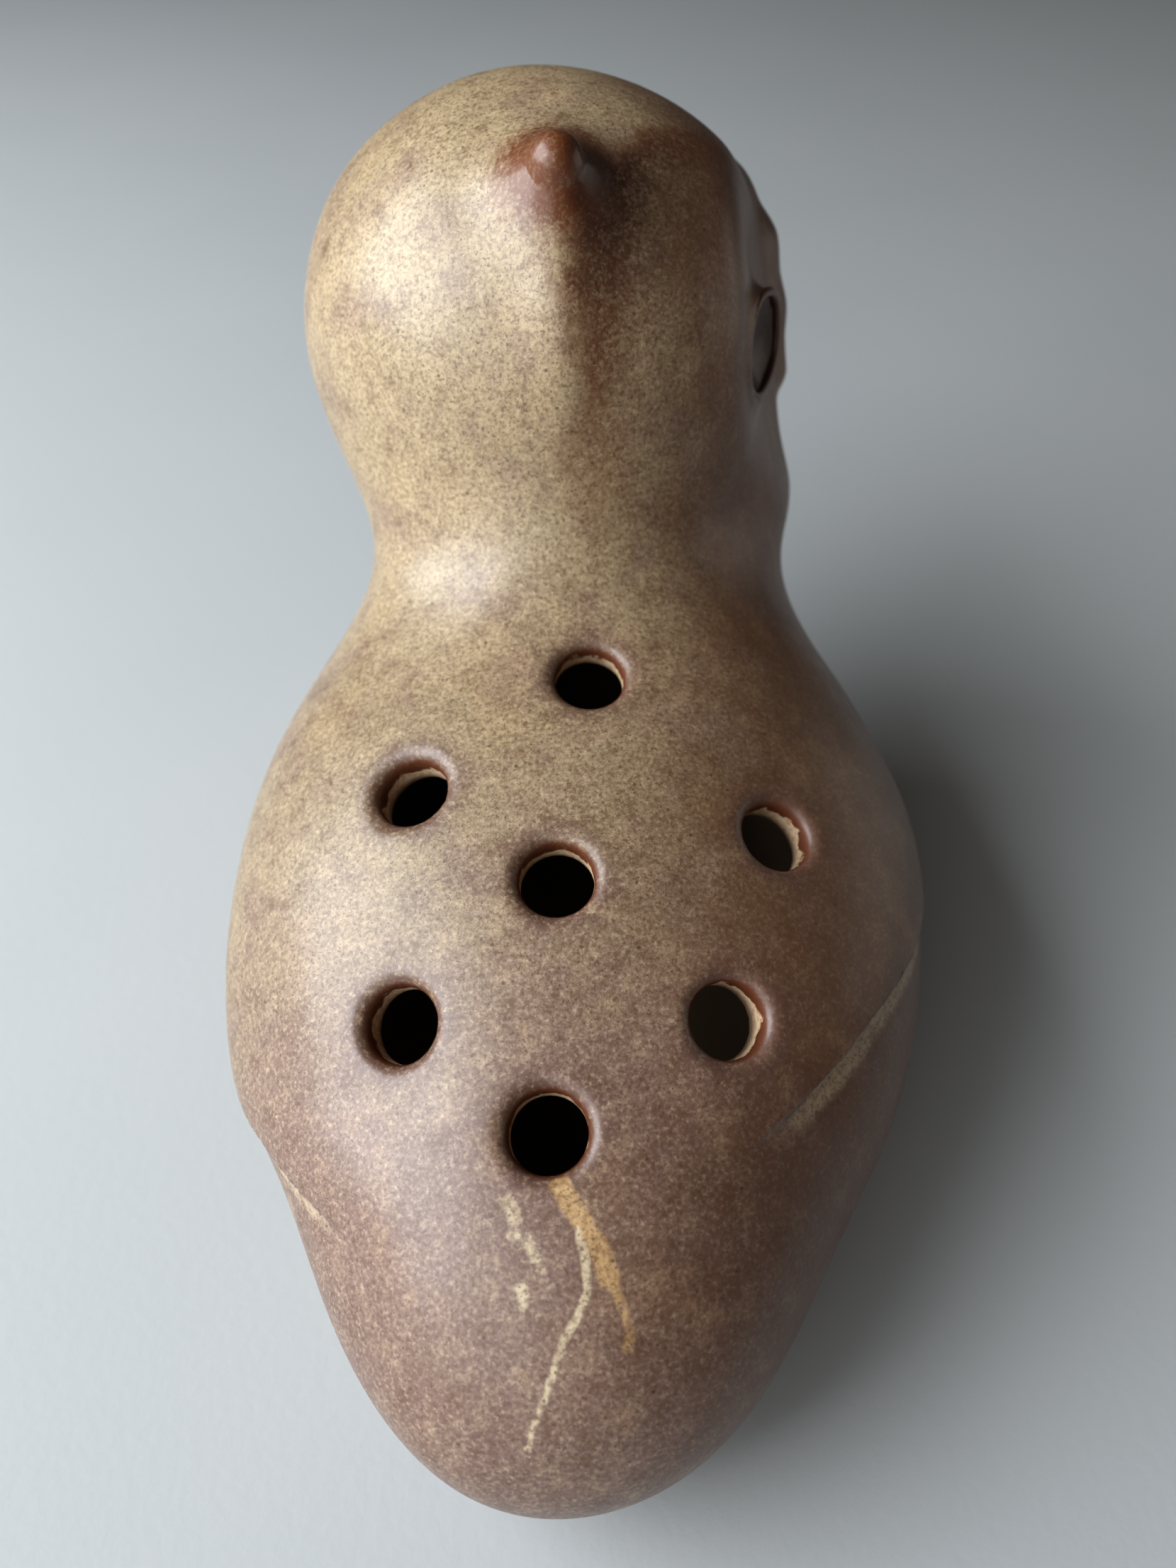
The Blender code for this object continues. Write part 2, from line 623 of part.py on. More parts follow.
def build():
    outer = clay_form("outer_form", 0.0, OUTER_FACET)
    inner = clay_form("inner_form", -WALL, INNER_FACET)
    skin = clay_form("skin_form", GAP, OUTER_FACET)
    grown = clay_form("grown_form", GAP + WING_THICKNESS, OUTER_FACET)
    shared = make_shared_cutters(inner)
    skin_cutter = add_cutter("skin", skin)
    chamber = shared["chamber"]
    finger_bores = bores("finger_bores", FINGER_HOLES, BORE, True, NECK_HOLE_LEAN)
    thumb_bores = bores("thumb_bores", THUMB_HOLES, THUMB_BORE, False)
    window = make_window_cutter()

    above_neck, tail_cut = shared["above_neck"], shared["behind_tail_cut"]
    back_cuts = (shared["below_seam"], above_neck, tail_cut, chamber, finger_bores)
    make_shell("back_shell", outer, BACK_GLAZE, back_cuts, SEAM_POINT)
    belly_cuts = (shared["above_seam"], above_neck, tail_cut, chamber, thumb_bores, window)
    make_shell("belly_shell", outer, BELLY_GLAZE, belly_cuts, (0.0, 0.0, 0.0))
    head_back_cuts = (shared["below_neck"], shared["before_face"], chamber)
    make_shell("head_back_shell", outer, HEAD_GLAZE, head_back_cuts, HEAD_CENTRE)
    face_cuts = (shared["below_neck"], shared["behind_face"], chamber)
    make_shell("head_face_shell", outer, FACE_GLAZE, face_cuts, FACE_POINT)
    tail_cuts = (shared["before_tail_cut"], make_windway_cutter())
    make_shell("tail_mouthpiece", outer, BACK_GLAZE, tail_cuts, WINDWAY_END)
    make_labium()
    make_coils()
    for name, side in (("right_ear_tuft", 1), ("left_ear_tuft", -1)):
        make_tuft(name, side, skin_cutter)
    for name, side in (("right_eye_ring", 1), ("left_eye_ring", -1)):
        make_eye_ring(name, side, skin_cutter)
    make_beak(skin_cutter)
    for name, side, edge in (("right_wing", 1, RIGHT_WING_EDGE), ("left_wing", -1, LEFT_WING_EDGE)):
        make_wing(name, side, edge, grown, (skin_cutter, finger_bores))
    for item in parts.objects:
        shade_round(item)


clear_scene()
parts = new_collection("ocarina", False)
cutters = new_collection("cutters", True)
build()
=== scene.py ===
"""The looks of the owl-shaped ocarina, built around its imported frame.

The shape functions work in millimetres from the point under the belly where the foot rests, with +Y from
the tail to the head and +Z up. A function named ..._distance gives how far points lie outside a form, and is
negative inside it. The whole fired body is one such form. It is meshed once, then cut into the named pieces.
"""

import json
import math

import bmesh
import bpy
import numpy as np
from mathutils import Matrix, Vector


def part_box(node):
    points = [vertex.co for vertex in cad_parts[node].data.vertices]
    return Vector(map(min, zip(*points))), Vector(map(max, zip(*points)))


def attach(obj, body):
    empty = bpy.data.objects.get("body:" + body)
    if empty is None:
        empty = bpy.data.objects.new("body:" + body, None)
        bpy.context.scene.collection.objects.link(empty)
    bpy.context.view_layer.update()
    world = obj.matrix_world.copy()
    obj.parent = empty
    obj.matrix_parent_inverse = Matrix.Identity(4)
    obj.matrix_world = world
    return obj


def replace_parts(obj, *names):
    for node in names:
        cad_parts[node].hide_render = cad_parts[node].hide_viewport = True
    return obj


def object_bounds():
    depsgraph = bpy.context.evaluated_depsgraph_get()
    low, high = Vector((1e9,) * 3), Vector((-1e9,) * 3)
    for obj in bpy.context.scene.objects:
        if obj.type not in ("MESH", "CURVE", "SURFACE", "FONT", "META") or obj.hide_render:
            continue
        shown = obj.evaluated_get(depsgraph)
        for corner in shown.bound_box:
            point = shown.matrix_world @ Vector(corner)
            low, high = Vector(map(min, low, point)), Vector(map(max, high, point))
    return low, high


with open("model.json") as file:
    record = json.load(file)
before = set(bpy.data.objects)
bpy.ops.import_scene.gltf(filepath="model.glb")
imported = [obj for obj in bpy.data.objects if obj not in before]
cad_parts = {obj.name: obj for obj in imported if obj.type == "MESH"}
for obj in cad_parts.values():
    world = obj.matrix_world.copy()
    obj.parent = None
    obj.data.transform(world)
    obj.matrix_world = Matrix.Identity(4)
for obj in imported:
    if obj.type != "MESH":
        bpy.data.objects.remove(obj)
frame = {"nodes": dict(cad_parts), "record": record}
CAD_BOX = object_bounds()

MM = 0.001
FOOT = np.array(frame["record"]["mounts"][0]["pos_m"]) / MM
GRID_STEP = 0.7


def box_of(*nodes):
    """Lowest and highest corner of some CAD nodes together, in millimetres from the foot."""
    corners = [np.array(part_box(node)) / MM - FOOT for node in nodes]
    return np.min([pair[0] for pair in corners], axis=0), np.max([pair[1] for pair in corners], axis=0)


def unit(vector):
    return np.array(vector, float) / np.linalg.norm(vector)


# ---------------------------------------------------------------------------------------------------------
# Sizes
# ---------------------------------------------------------------------------------------------------------

WALL = 5.0  # thickness of the clay
BORE = 7.6  # diameter of a finger hole
THUMB_BORE = 8.4
GAP = 0.3  # between neighbouring CAD pieces
NEAREST, LEAST_STEEPNESS = 1e-9, 0.2  # keep a division away from nothing
FAR = 100.0  # a distance beyond any that matters

head_low, head_high = box_of("head_back_shell", "head_face_shell")
tail_low, tail_high = box_of("tail_mouthpiece")
back_low, back_high = box_of("back_shell", "belly_shell")

# The lumps the form is blended from: centre, half sizes, and nose-up pitch in degrees
HEAD_HALF = np.array((30.6, 29.0, 29.0))
HEAD_CENTRE = np.array((head_low[0], head_high[1], head_high[2])) + HEAD_HALF * (1, -1, -1)
BODY_HALF = np.array(((back_high[0] - back_low[0]) / 2, 53.5, 26.5))
BODY = (np.array((0.0, tail_low[1] + 63.5, 26.7)), BODY_HALF, 14.0)
BREAST = (np.array((0.0, 37.0, 24.2)), np.array((29.0, 29.0, 26.0)), 0.0)
TAIL = (np.array((-1.0, tail_low[1] + 21.5, 19.2)), np.array((21.0, 22.0, 16.0)), 18.0)
HEAD = (HEAD_CENTRE, HEAD_HALF, 0.0)

# The head's own directions
FACING_YAW = math.radians(20.0)
HEAD_ROLL = math.radians(25.0)
FACING = np.array((math.cos(FACING_YAW), math.sin(FACING_YAW), 0.0))
ACROSS = np.array((math.sin(FACING_YAW), -math.cos(FACING_YAW), 0.0))
HEAD_RIGHT = ACROSS * math.cos(HEAD_ROLL) + np.array((0.0, 0.0, math.sin(HEAD_ROLL)))
CROWN = np.cross(HEAD_RIGHT, FACING)

CHIN_REACH, CHIN_RADIUS = 19.0, 12.0  # forwards and down alike
CHIN = (HEAD_CENTRE + (FACING - CROWN) * CHIN_REACH, np.array((CHIN_RADIUS,) * 3), 0.0)

# The widths over which the lumps run into each other
BREAST_BLEND, TAIL_BLEND, CHIN_BLEND, NECK_BLEND, DISH_BLEND = 12.0, 13.0, 8.0, 24.0, 3.5

# Each facial disc is a shallow dish swept from its lower end to its upper end: yaw and pitch on the head
DISH_RADIUS, DISH_FLOOR = 46.0, 27.3
DISH_ENDS = ((33.0, -13.0), (31.0, 8.0))
EYE_YAW, EYE_PITCH = 38.5, -10.5
EYE_REACH = 27.9  # from the head's centre to the middle of an eye's rim
EYE_AXIS_YAW = 42.0
MOUTH_PITCH, MOUTH_RADIUS, MOUTH_DEPTH = -31.0, 9.0, 1.6
EYE_RING_RADIUS, EYE_RING_TUBE = 6.0, 0.5

# Finger holes in the back and thumb holes in the belly, by place in plan, and the lean of the one by the neck
FINGER_HOLES = (
    (1.7, 18.9),
    (-17.5, 6.2),
    (21.8, 2.3),
    (-1.7, -5.2),
    (-17.3, -17.3),
    (15.3, -17.3),
    (-2.3, -28.1),
)
THUMB_HOLES = ((-14.0, 14.0), (14.0, 14.0))
NECK_HOLE_LEAN = math.radians(17.0)

TAIL_CUT_Y = tail_high[1] + GAP / 2.0
SEAM_TILT = math.radians(8.0)
SEAM_UP = np.array((0.0, -math.sin(SEAM_TILT), math.cos(SEAM_TILT)))
NECK_POINT, NECK_UP = np.array((0.0, 50.0, 45.2)), unit((0.0, 0.593, 0.805))
FACE_POINT = HEAD_CENTRE + FACING * 8.0


# ---------------------------------------------------------------------------------------------------------
# Simple forms and ways to join them
# ---------------------------------------------------------------------------------------------------------


def ellipsoid_distance(points, centre, half, pitch=0.0):
    tilt = math.radians(pitch)
    x, y, z = (points - centre).T
    along = y * math.cos(tilt) + z * math.sin(tilt)
    above = z * math.cos(tilt) - y * math.sin(tilt)
    local = np.stack([x, along, above], axis=1)
    near = np.linalg.norm(local / half, axis=1)
    slope = np.linalg.norm(local / np.square(half), axis=1)
    return near * (near - 1.0) / np.maximum(slope, NEAREST)


def ball_distance(points, centre, radius):
    return np.linalg.norm(points - centre, axis=1) - radius


def rod_distance(points, start, end, start_radius, end_radius):
    """A rod with round ends, which may taper."""
    axis = end - start
    share = np.clip((points - start) @ axis / (axis @ axis), 0.0, 1.0)
    middle = start + share[:, None] * axis
    return np.linalg.norm(points - middle, axis=1) - (start_radius + (end_radius - start_radius) * share)


def box_distance(points, centre, half, turn):
    """A box whose own axes are the columns of turn."""
    reach = np.abs((points - centre) @ turn) - half
    outside = np.linalg.norm(np.maximum(reach, 0.0), axis=1)
    return outside + np.minimum(reach.max(axis=1), 0.0)


def blend(first, second, width):
    """The union of two forms, with the crease between them filled over a width."""
    overlap = np.maximum(width - np.abs(first - second), 0.0)
    return np.minimum(first, second) - overlap**2 / (4.0 * width)


def carve(solid, hollow, width):
    """What is left of a solid, with its new edges rounded over a width."""
    return -blend(-solid, hollow, width)


def ramp(values, start, end):
    """Rises smoothly from 0 at start to 1 at end."""
    share = np.clip((values - start) / (end - start), 0.0, 1.0)
    return share * share * (3.0 - 2.0 * share)


def slope_of(distance, points, step=0.05):
    columns = [distance(points + axis) - distance(points - axis) for axis in np.eye(3) * step]
    return np.stack(columns, axis=1) / (2.0 * step)


# ---------------------------------------------------------------------------------------------------------
# The clay form
# ---------------------------------------------------------------------------------------------------------


def head_direction(yaw, pitch):
    """A direction from the head's centre: yaw from its facing to its right, pitch towards its crown."""
    turn, lift = math.radians(yaw), math.radians(pitch)
    level = FACING * math.cos(turn) + HEAD_RIGHT * math.sin(turn)
    return level * math.cos(lift) + CROWN * math.sin(lift)


def plain_distance(points):
    """The body and head before any detail, as the CAD has them but for softer edges to the facial discs."""
    body = blend(ellipsoid_distance(points, *BODY), ellipsoid_distance(points, *BREAST), BREAST_BLEND)
    body = blend(body, ellipsoid_distance(points, *TAIL), TAIL_BLEND)
    head = blend(ellipsoid_distance(points, *HEAD), ellipsoid_distance(points, *CHIN), CHIN_BLEND)
    reach = DISH_FLOOR + DISH_RADIUS
    for side in (1, -1):
        low, high = (HEAD_CENTRE + head_direction(side * yaw, pitch) * reach for yaw, pitch in DISH_ENDS)
        head = carve(head, rod_distance(points, low, high, DISH_RADIUS, DISH_RADIUS), DISH_BLEND)
    return blend(body, head, NECK_BLEND)


SEARCH_REACH, SEARCH_STEP = 110.0, 0.02
SEARCH_HEIGHT = 20.0  # inside the chamber, where the searches for the back and the belly start


def first_hit(start, direction, distance):
    """The point where a ray from inside leaves a form, and the outward normal there."""
    reach = np.arange(0.0, SEARCH_REACH, SEARCH_STEP)
    line = start + reach[:, None] * direction
    point = line[np.argmax(distance(line) > 0.0)]
    return point, unit(slope_of(distance, point[None, :])[0])


def back_point(x, y):
    return first_hit(np.array((x, y, SEARCH_HEIGHT)), np.array((0.0, 0.0, 1.0)), plain_distance)


def belly_point(x, y):
    return first_hit(np.array((x, y, SEARCH_HEIGHT)), np.array((0.0, 0.0, -1.0)), plain_distance)


def head_point(yaw, pitch):
    return first_hit(HEAD_CENTRE, head_direction(yaw, pitch), plain_distance)


# Ear tufts, with a soft ridge that runs down the head from each
TUFT_BACK, TUFT_LEAN = -0.14, math.radians(58.0)
TUFT_FOOT_RADIUS, TUFT_TIP_RADIUS, TUFT_HEIGHT = 6.8, 2.7, 6.2
TUFT_ROOT, TUFT_BLEND = 3.0, 5.0  # how deep its foot goes into the head, and the fillet round it
RIDGE_HEIGHT, RIDGE_WIDTH = 1.3, 4.2
RIDGE_START, RIDGE_FINISH = (-14.0, 6.0), (62.0, 22.0)  # in degrees from the tuft, from nothing to whole
RIDGE_END = (0.95, -0.30, -0.26)  # its direction from the head's centre, by side, crown and facing
CROWN_FALL = 0.7  # millimetres for each degree past the tuft, towards the crown


def tuft_direction(side):
    return unit(CROWN * math.cos(TUFT_LEAN) + HEAD_RIGHT * side * math.sin(TUFT_LEAN) + FACING * TUFT_BACK)


def tuft_points(side):
    """The middle of a tuft's foot, under the head's surface, and the middle of its round tip."""
    direction = tuft_direction(side)
    foot, _ = first_hit(HEAD_CENTRE, direction, plain_distance)
    return foot - direction * TUFT_ROOT, foot + direction * (TUFT_HEIGHT - TUFT_TIP_RADIUS)


def ridge_place(points, side):
    """Distance to the side of a ridge's line, and degrees from its tuft along it."""
    start = tuft_direction(side)
    end = unit(HEAD_RIGHT * side * RIDGE_END[0] + CROWN * RIDGE_END[1] + FACING * RIDGE_END[2])
    across = unit(np.cross(start, end))
    onward = np.cross(across, start)
    local = points - HEAD_CENTRE
    return local @ across, np.degrees(np.arctan2(local @ onward, local @ start))


def ridge_rise(points):
    rise = np.zeros(len(points))
    for side in (1, -1):
        aside, along = ridge_place(points, side)
        share = ramp(along, *RIDGE_START) * ramp(along, *RIDGE_FINISH)
        rise += np.exp(-np.square(aside / RIDGE_WIDTH)) * share
    return rise * RIDGE_HEIGHT


TUFTS = {side: tuft_points(side) for side in (1, -1)}
RIM_STEPS = (96, 12)  # round an eye's rim, and round its roll of clay
EYES = []
for side in (1, -1):
    rim_middle = HEAD_CENTRE + head_direction(side * EYE_YAW, EYE_PITCH) * EYE_REACH
    EYES.append((rim_middle, head_direction(side * EYE_AXIS_YAW, EYE_PITCH)))
EYE_PAD_ROOT, EYE_PAD_BLEND = 6.0, 3.6
EYE_CUP_REACH, EYE_CUP_RADIUS, EYE_CUP_EDGE = 7.0, 9.1, 0.8  # the ball that presses the cup

# The beak's ridge, from over the brow to the tip: pitch on the head, radius, and height over the skin
BEAK_LINE = (
    (58.0, 3.4, -0.9),
    (40.0, 3.4, 0.2),
    (26.0, 3.4, 1.3),
    (12.0, 3.4, 2.2),
    (-4.0, 3.0, 2.0),
    (-18.0, 1.7, 1.6),
)
BEAK_BLEND, MOUTH_BLEND, RIDGE_JOIN = 4.5, 4.0, 2.0
MOUTH, MOUTH_OUT = head_point(0.0, MOUTH_PITCH)
FINGER_BORES = [back_point(x, y) for x, y in FINGER_HOLES]
neck_hole, neck_out = FINGER_BORES[0]
FINGER_BORES[0] = (neck_hole, unit(neck_out - np.array((0.0, math.tan(NECK_HOLE_LEAN), 0.0))))
THUMB_BORES = [belly_point(x, y) for x, y in THUMB_HOLES]


def with_tufts(points, solid):
    for foot, tip in TUFTS.values():
        cone = rod_distance(points, foot, tip, TUFT_FOOT_RADIUS, TUFT_TIP_RADIUS)
        solid = blend(solid, cone, TUFT_BLEND)
    return solid


def beak_distance(points):
    """A ridge from the brow down to the beak's tip."""
    places = []
    for pitch, radius, height in BEAK_LINE:
        direction = head_direction(0.0, pitch)
        skin, _ = first_hit(HEAD_CENTRE, direction, plain_distance)
        places.append((skin + direction * (height - radius), radius))
    ridge = np.full(len(points), FAR)
    for (start, start_radius), (end, end_radius) in zip(places, places[1:]):
        ridge = blend(ridge, rod_distance(points, start, end, start_radius, end_radius), RIDGE_JOIN)
    return ridge


def with_face(points, solid):
    """Cupped eyes on low pads, and a low beak between them that runs down from the brow."""
    mouth = ball_distance(points, MOUTH + MOUTH_OUT * (MOUTH_RADIUS - MOUTH_DEPTH), MOUTH_RADIUS)
    solid = carve(solid, mouth, MOUTH_BLEND)
    solid = blend(solid, beak_distance(points), BEAK_BLEND)
    for rim, out in EYES:
        pad = rod_distance(points, rim - out * EYE_PAD_ROOT, rim, EYE_RING_RADIUS, EYE_RING_RADIUS)
        pad = np.maximum(pad, (points - rim) @ out)
        solid = blend(solid, pad, EYE_PAD_BLEND)
        solid = carve(solid, ball_distance(points, rim + out * EYE_CUP_REACH, EYE_CUP_RADIUS), EYE_CUP_EDGE)
    return solid


# Each wing's lower edge: its height at the shoulder, its climb, where along Y it climbs, and where it ends
WING_RISE = 0.9
WINGS = {1: (33.0, 3.7, 6.0, -16.0, -31.0), -1: (19.5, 11.5, -3.0, -40.0, -38.0)}
WING_FRONT = (30.0, 14.0)  # along Y, where the front end fades in and is whole
WING_TIP_FADE = 11.0
WING_ROOT = (6.0, 16.0)  # out from the middle of the back
WING_STEP, WING_FEATHER = (-0.5, 0.7), (14.0, 1.5)  # above its edge
WING_GROOVE, WING_PALE = (0.3, -0.5), (-3.2, -1.0)  # the pale band just under it


def above_wing_edge(points, side):
    """Height above a wing's lower edge, and how much of the wing is left there, from 0 to 1."""
    low, climb, start, end, tip = WINGS[side]
    x, y, z = points.T
    share = ramp(y, *WING_FRONT) * ramp(y, tip, tip + WING_TIP_FADE) * ramp(x * side, *WING_ROOT)
    return z - low - climb * ramp(y, start, end), share


def wing_rise(points):
    """How far each wing lifts the surface: a step at its lower edge, feathered into the back above."""
    rise = np.zeros(len(points))
    for side in WINGS:
        above, share = above_wing_edge(points, side)
        rise += WING_RISE * share * ramp(above, *WING_STEP) * ramp(above, *WING_FEATHER)
    return rise


def hand_wobble(points):
    """The slight unevenness of a form pressed and scraped by hand."""
    x, y, z = points.T
    wobble = np.sin(x * 0.11 + 1.3) * np.sin(y * 0.09 + 0.4) + 0.6 * np.sin(z * 0.14 + y * 0.05)
    return 0.16 * (wobble + 0.5 * np.sin(x * 0.23 - y * 0.19 + z * 0.21))


def outside_distance(points):
    """The outer surface with its details but without any hole."""
    solid = plain_distance(points) - wing_rise(points) - ridge_rise(points) + hand_wobble(points)
    return with_face(points, with_tufts(points, solid))


# The whistle in the tail
WINDWAY_WIDTH, WINDWAY_HEIGHT = 10.0, 1.6
WINDWAY_END = np.array((TAIL[0][0], TAIL_CUT_Y, 5.0))
WINDWAY_SLOPE = math.radians(21.0)
WINDWAY_MIDDLE, WINDWAY_REACH = 18.0, 40.0  # back from its end, and longer than the tail is
WINDOW_LENGTH, LABIUM_LENGTH = 6.0, 9.0
WHISTLE_EDGE = 0.6
RIM_ROUNDING, THUMB_RIM_ROUNDING, CHAMBER_EDGE = 2.0, 1.6, 1.5
BORE_REACH, WINDOW_DEPTH = WALL * 1.8, WALL * 4.0  # more than the wall, so the cuts go right through


def with_whistle(points, solid):
    """Cuts the windway through the tail, and the window in the belly with the notch that holds the labium."""
    forward = np.array((0.0, math.cos(WINDWAY_SLOPE), -math.sin(WINDWAY_SLOPE)))
    turn = np.stack([np.array((1.0, 0.0, 0.0)), forward, np.cross((1.0, 0.0, 0.0), forward)], axis=1)
    half = np.array((WINDWAY_WIDTH, WINDWAY_REACH, WINDWAY_HEIGHT)) / 2.0
    slot = box_distance(points, WINDWAY_END - forward * WINDWAY_MIDDLE, half, turn)
    solid = carve(solid, slot, WHISTLE_EDGE)
    length = WINDOW_LENGTH + LABIUM_LENGTH
    window_half = np.array((WINDWAY_WIDTH, length, WINDOW_DEPTH)) / 2.0
    window_centre = np.array((WINDWAY_END[0], TAIL_CUT_Y + length / 2.0, 0.0))
    return carve(solid, box_distance(points, window_centre, window_half, np.eye(3)), WHISTLE_EDGE)


def bore_distance(points, place, diameter):
    """A hole's cutter, square to the surface or leaning as its place says."""
    centre, out = place
    height = (points - centre) @ out
    away = np.sqrt(np.maximum(np.sum((points - centre) ** 2, axis=1) - height**2, 0.0))
    return np.maximum(away - diameter / 2.0, np.abs(height) - BORE_REACH)


def clay_distance(points):
    """The whole fired body: the outside, its holes, and the chamber."""
    solid = np.maximum(outside_distance(points), -points[:, 2])
    for place in FINGER_BORES:
        solid = carve(solid, bore_distance(points, place, BORE), RIM_ROUNDING)
    for place in THUMB_BORES:
        solid = carve(solid, bore_distance(points, place, THUMB_BORE), THUMB_RIM_ROUNDING)
    solid = with_whistle(points, solid)
    chamber = np.maximum(plain_distance(points) + WALL, WALL - points[:, 2])
    chamber = np.maximum(chamber, TAIL_CUT_Y - points[:, 1])
    return carve(solid, chamber, CHAMBER_EDGE)


# ---------------------------------------------------------------------------------------------------------
# Meshing
# ---------------------------------------------------------------------------------------------------------


NEAR_OUTSIDE, NEAR_INSIDE = 10.0, 4.0  # how far from the plain form's wall the details may reach
MARGIN = 5.0  # round the CAD's box
SETTLING_STEPS = 3


def sampled(low, high, step):
    """The clay distance on a grid. Points far from the clay only get the plain form's distance."""
    axes = [np.arange(a, b + step, step) for a, b in zip(low, high)]
    grid = np.stack(np.meshgrid(*axes, indexing="ij"), axis=-1).reshape(-1, 3)
    values = plain_distance(grid)
    near = (values < NEAR_OUTSIDE) & (values > -WALL - NEAR_INSIDE)
    values[near] = clay_distance(grid[near])
    deep = values < -WALL - NEAR_INSIDE + 0.1
    values[deep] = -values[deep]
    return values.reshape([len(axis) for axis in axes])


def surface_net(values, low, step):
    """One vertex in every cell that the surface crosses, and a quad round every grid edge that crosses it."""
    inside = values < 0.0
    rings, crossings = [], []
    for axis in range(3):
        ahead, second, third = (np.eye(3, dtype=int)[(axis + turn) % 3] for turn in range(3))
        start = np.argwhere(np.diff(inside, axis=axis))
        before, after = values[tuple(start.T)], values[tuple((start + ahead).T)]
        cells = np.stack([start, start - second, start - second - third, start - third], axis=1)
        cells[before > 0.0] = cells[before > 0.0, ::-1]
        rings.append(cells @ np.array((values.shape[1] * values.shape[2], values.shape[2], 1)))
        crossings.append(start + ahead * (before / (before - after))[:, None])
    rings, crossings = np.concatenate(rings), np.concatenate(crossings)
    _, quads = np.unique(rings, return_inverse=True)
    quads = quads.reshape(-1, 4)
    count = np.bincount(quads.ravel())
    sums = [np.bincount(quads.ravel(), weights=np.repeat(crossings[:, axis], 4)) for axis in range(3)]
    return low + np.stack(sums, axis=1) / count[:, None] * step, quads


def settled(points):
    """Moves each vertex onto the exact surface, by no more than half a grid step."""
    start = points.copy()
    for _ in range(SETTLING_STEPS):
        slope = slope_of(clay_distance, points)
        steep = np.maximum(np.sum(slope**2, axis=1), LEAST_STEEPNESS)
        points = points - slope * (clay_distance(points) / steep)[:, None]
        points = start + np.clip(points - start, -GRID_STEP / 2.0, GRID_STEP / 2.0)
    return points


def mesh_from(name, points, faces):
    mesh = bpy.data.meshes.new(name)
    mesh.from_pydata(((points + FOOT) * MM).tolist(), [], faces.tolist())
    mesh.update()
    return mesh


def clay_mesh():
    low = np.array((back_low[0], tail_low[1], 0.0)) - MARGIN
    high = np.array((back_high[0], head_high[1], head_high[2] + TUFT_HEIGHT)) + MARGIN
    points, quads = surface_net(sampled(low, high, GRID_STEP), low, GRID_STEP)
    return mesh_from("clay", settled(points), quads)


def cut_away(form, point, up):
    """Removes what lies beyond a plane and closes the cut."""
    place = Vector((point + FOOT) * MM)
    geometry = form.verts[:] + form.edges[:] + form.faces[:]
    cut = bmesh.ops.bisect_plane(
        form,
        geom=geometry,
        dist=1e-7,
        plane_co=place,
        plane_no=Vector(up),
        clear_outer=True,
    )
    edges = [item for item in cut["geom_cut"] if isinstance(item, bmesh.types.BMEdge)]
    if edges:
        bmesh.ops.triangle_fill(form, use_beauty=True, use_dissolve=False, edges=edges, normal=Vector(up))


def piece_of(clay, name, cuts):
    """A closed piece of the clay, with the surface's own normals so that no seam shows between pieces."""
    form = bmesh.new()
    form.from_mesh(clay)
    for point, up in cuts:
        cut_away(form, point, up)
    mesh = bpy.data.meshes.new(name)
    form.to_mesh(mesh)
    form.free()
    piece = bpy.data.objects.new(name, mesh)
    bpy.context.scene.collection.objects.link(piece)
    points = points_of(mesh)
    mark_surface(mesh, points)
    use_surface_normals(mesh, points, cuts)
    return piece


def points_of(mesh):
    flat = np.empty(len(mesh.vertices) * 3)
    mesh.vertices.foreach_get("co", flat)
    return flat.reshape(-1, 3) / MM - FOOT


def use_surface_normals(mesh, points, cuts):
    mesh.polygons.foreach_set("use_smooth", [True] * len(mesh.polygons))
    smooth = slope_of(clay_distance, points)
    smooth /= np.maximum(np.linalg.norm(smooth, axis=1), 1e-9)[:, None]
    corners = np.empty(len(mesh.loops), int)
    mesh.loops.foreach_get("vertex_index", corners)
    normals = smooth[corners]
    facing = np.empty(len(mesh.polygons) * 3)
    mesh.polygons.foreach_get("normal", facing)
    facing = facing.reshape(-1, 3)
    sizes = np.empty(len(mesh.polygons), int)
    mesh.polygons.foreach_get("loop_total", sizes)
    face_of_corner = np.repeat(np.arange(len(sizes)), sizes)
    capped = np.zeros(len(sizes), bool)
    for _, up in cuts:
        capped |= (facing @ np.array(up) > 0.99999) & (sizes == 3)
    flat = capped[face_of_corner] | (np.sum(normals * facing[face_of_corner], axis=1) < 0.3)
    normals[flat] = facing[face_of_corner[flat]]
    mesh.normals_split_custom_set(normals.tolist())


# ---------------------------------------------------------------------------------------------------------
# Marks on the surface, which the glaze materials read
# ---------------------------------------------------------------------------------------------------------


def line_distance(points, places):
    """Distance from a line through places on the back, given in plan."""
    line = [back_point(x, y)[0] for x, y in places]
    return np.min([rod_distance(points, a, b, 0.0, 0.0) for a, b in zip(line, line[1:])], axis=0)


THICK_RUN = ((-1.1, -32.3), (-0.2, -33.8), (1.3, -35.7), (2.6, -37.4), (3.4, -39.4))
THICK_RUN_TAIL = ((3.4, -39.4), (4.7, -41.7), (5.3, -43.2), (5.0, -44.3))
THIN_RUN = (
    (0.6, -35.9),
    (1.3, -38.3),
    (1.5, -40.4),
    (0.5, -42.4),
    (-0.8, -44.2),
    (-2.0, -47.1),
    (-3.3, -49.4),
    (-4.0, -51.0),
)
SIDE_DRIPS = (((-5.7, -33.4), (-5.1, -36.1)), ((-4.1, -36.7), (-2.9, -38.8)), ((-4.4, -40.0), (-4.2, -41.4)))
HAIRLINE = ((-37.9, -4.9), (-35.8, -6.9), (-32.4, -10.8), (-30.0, -13.3))


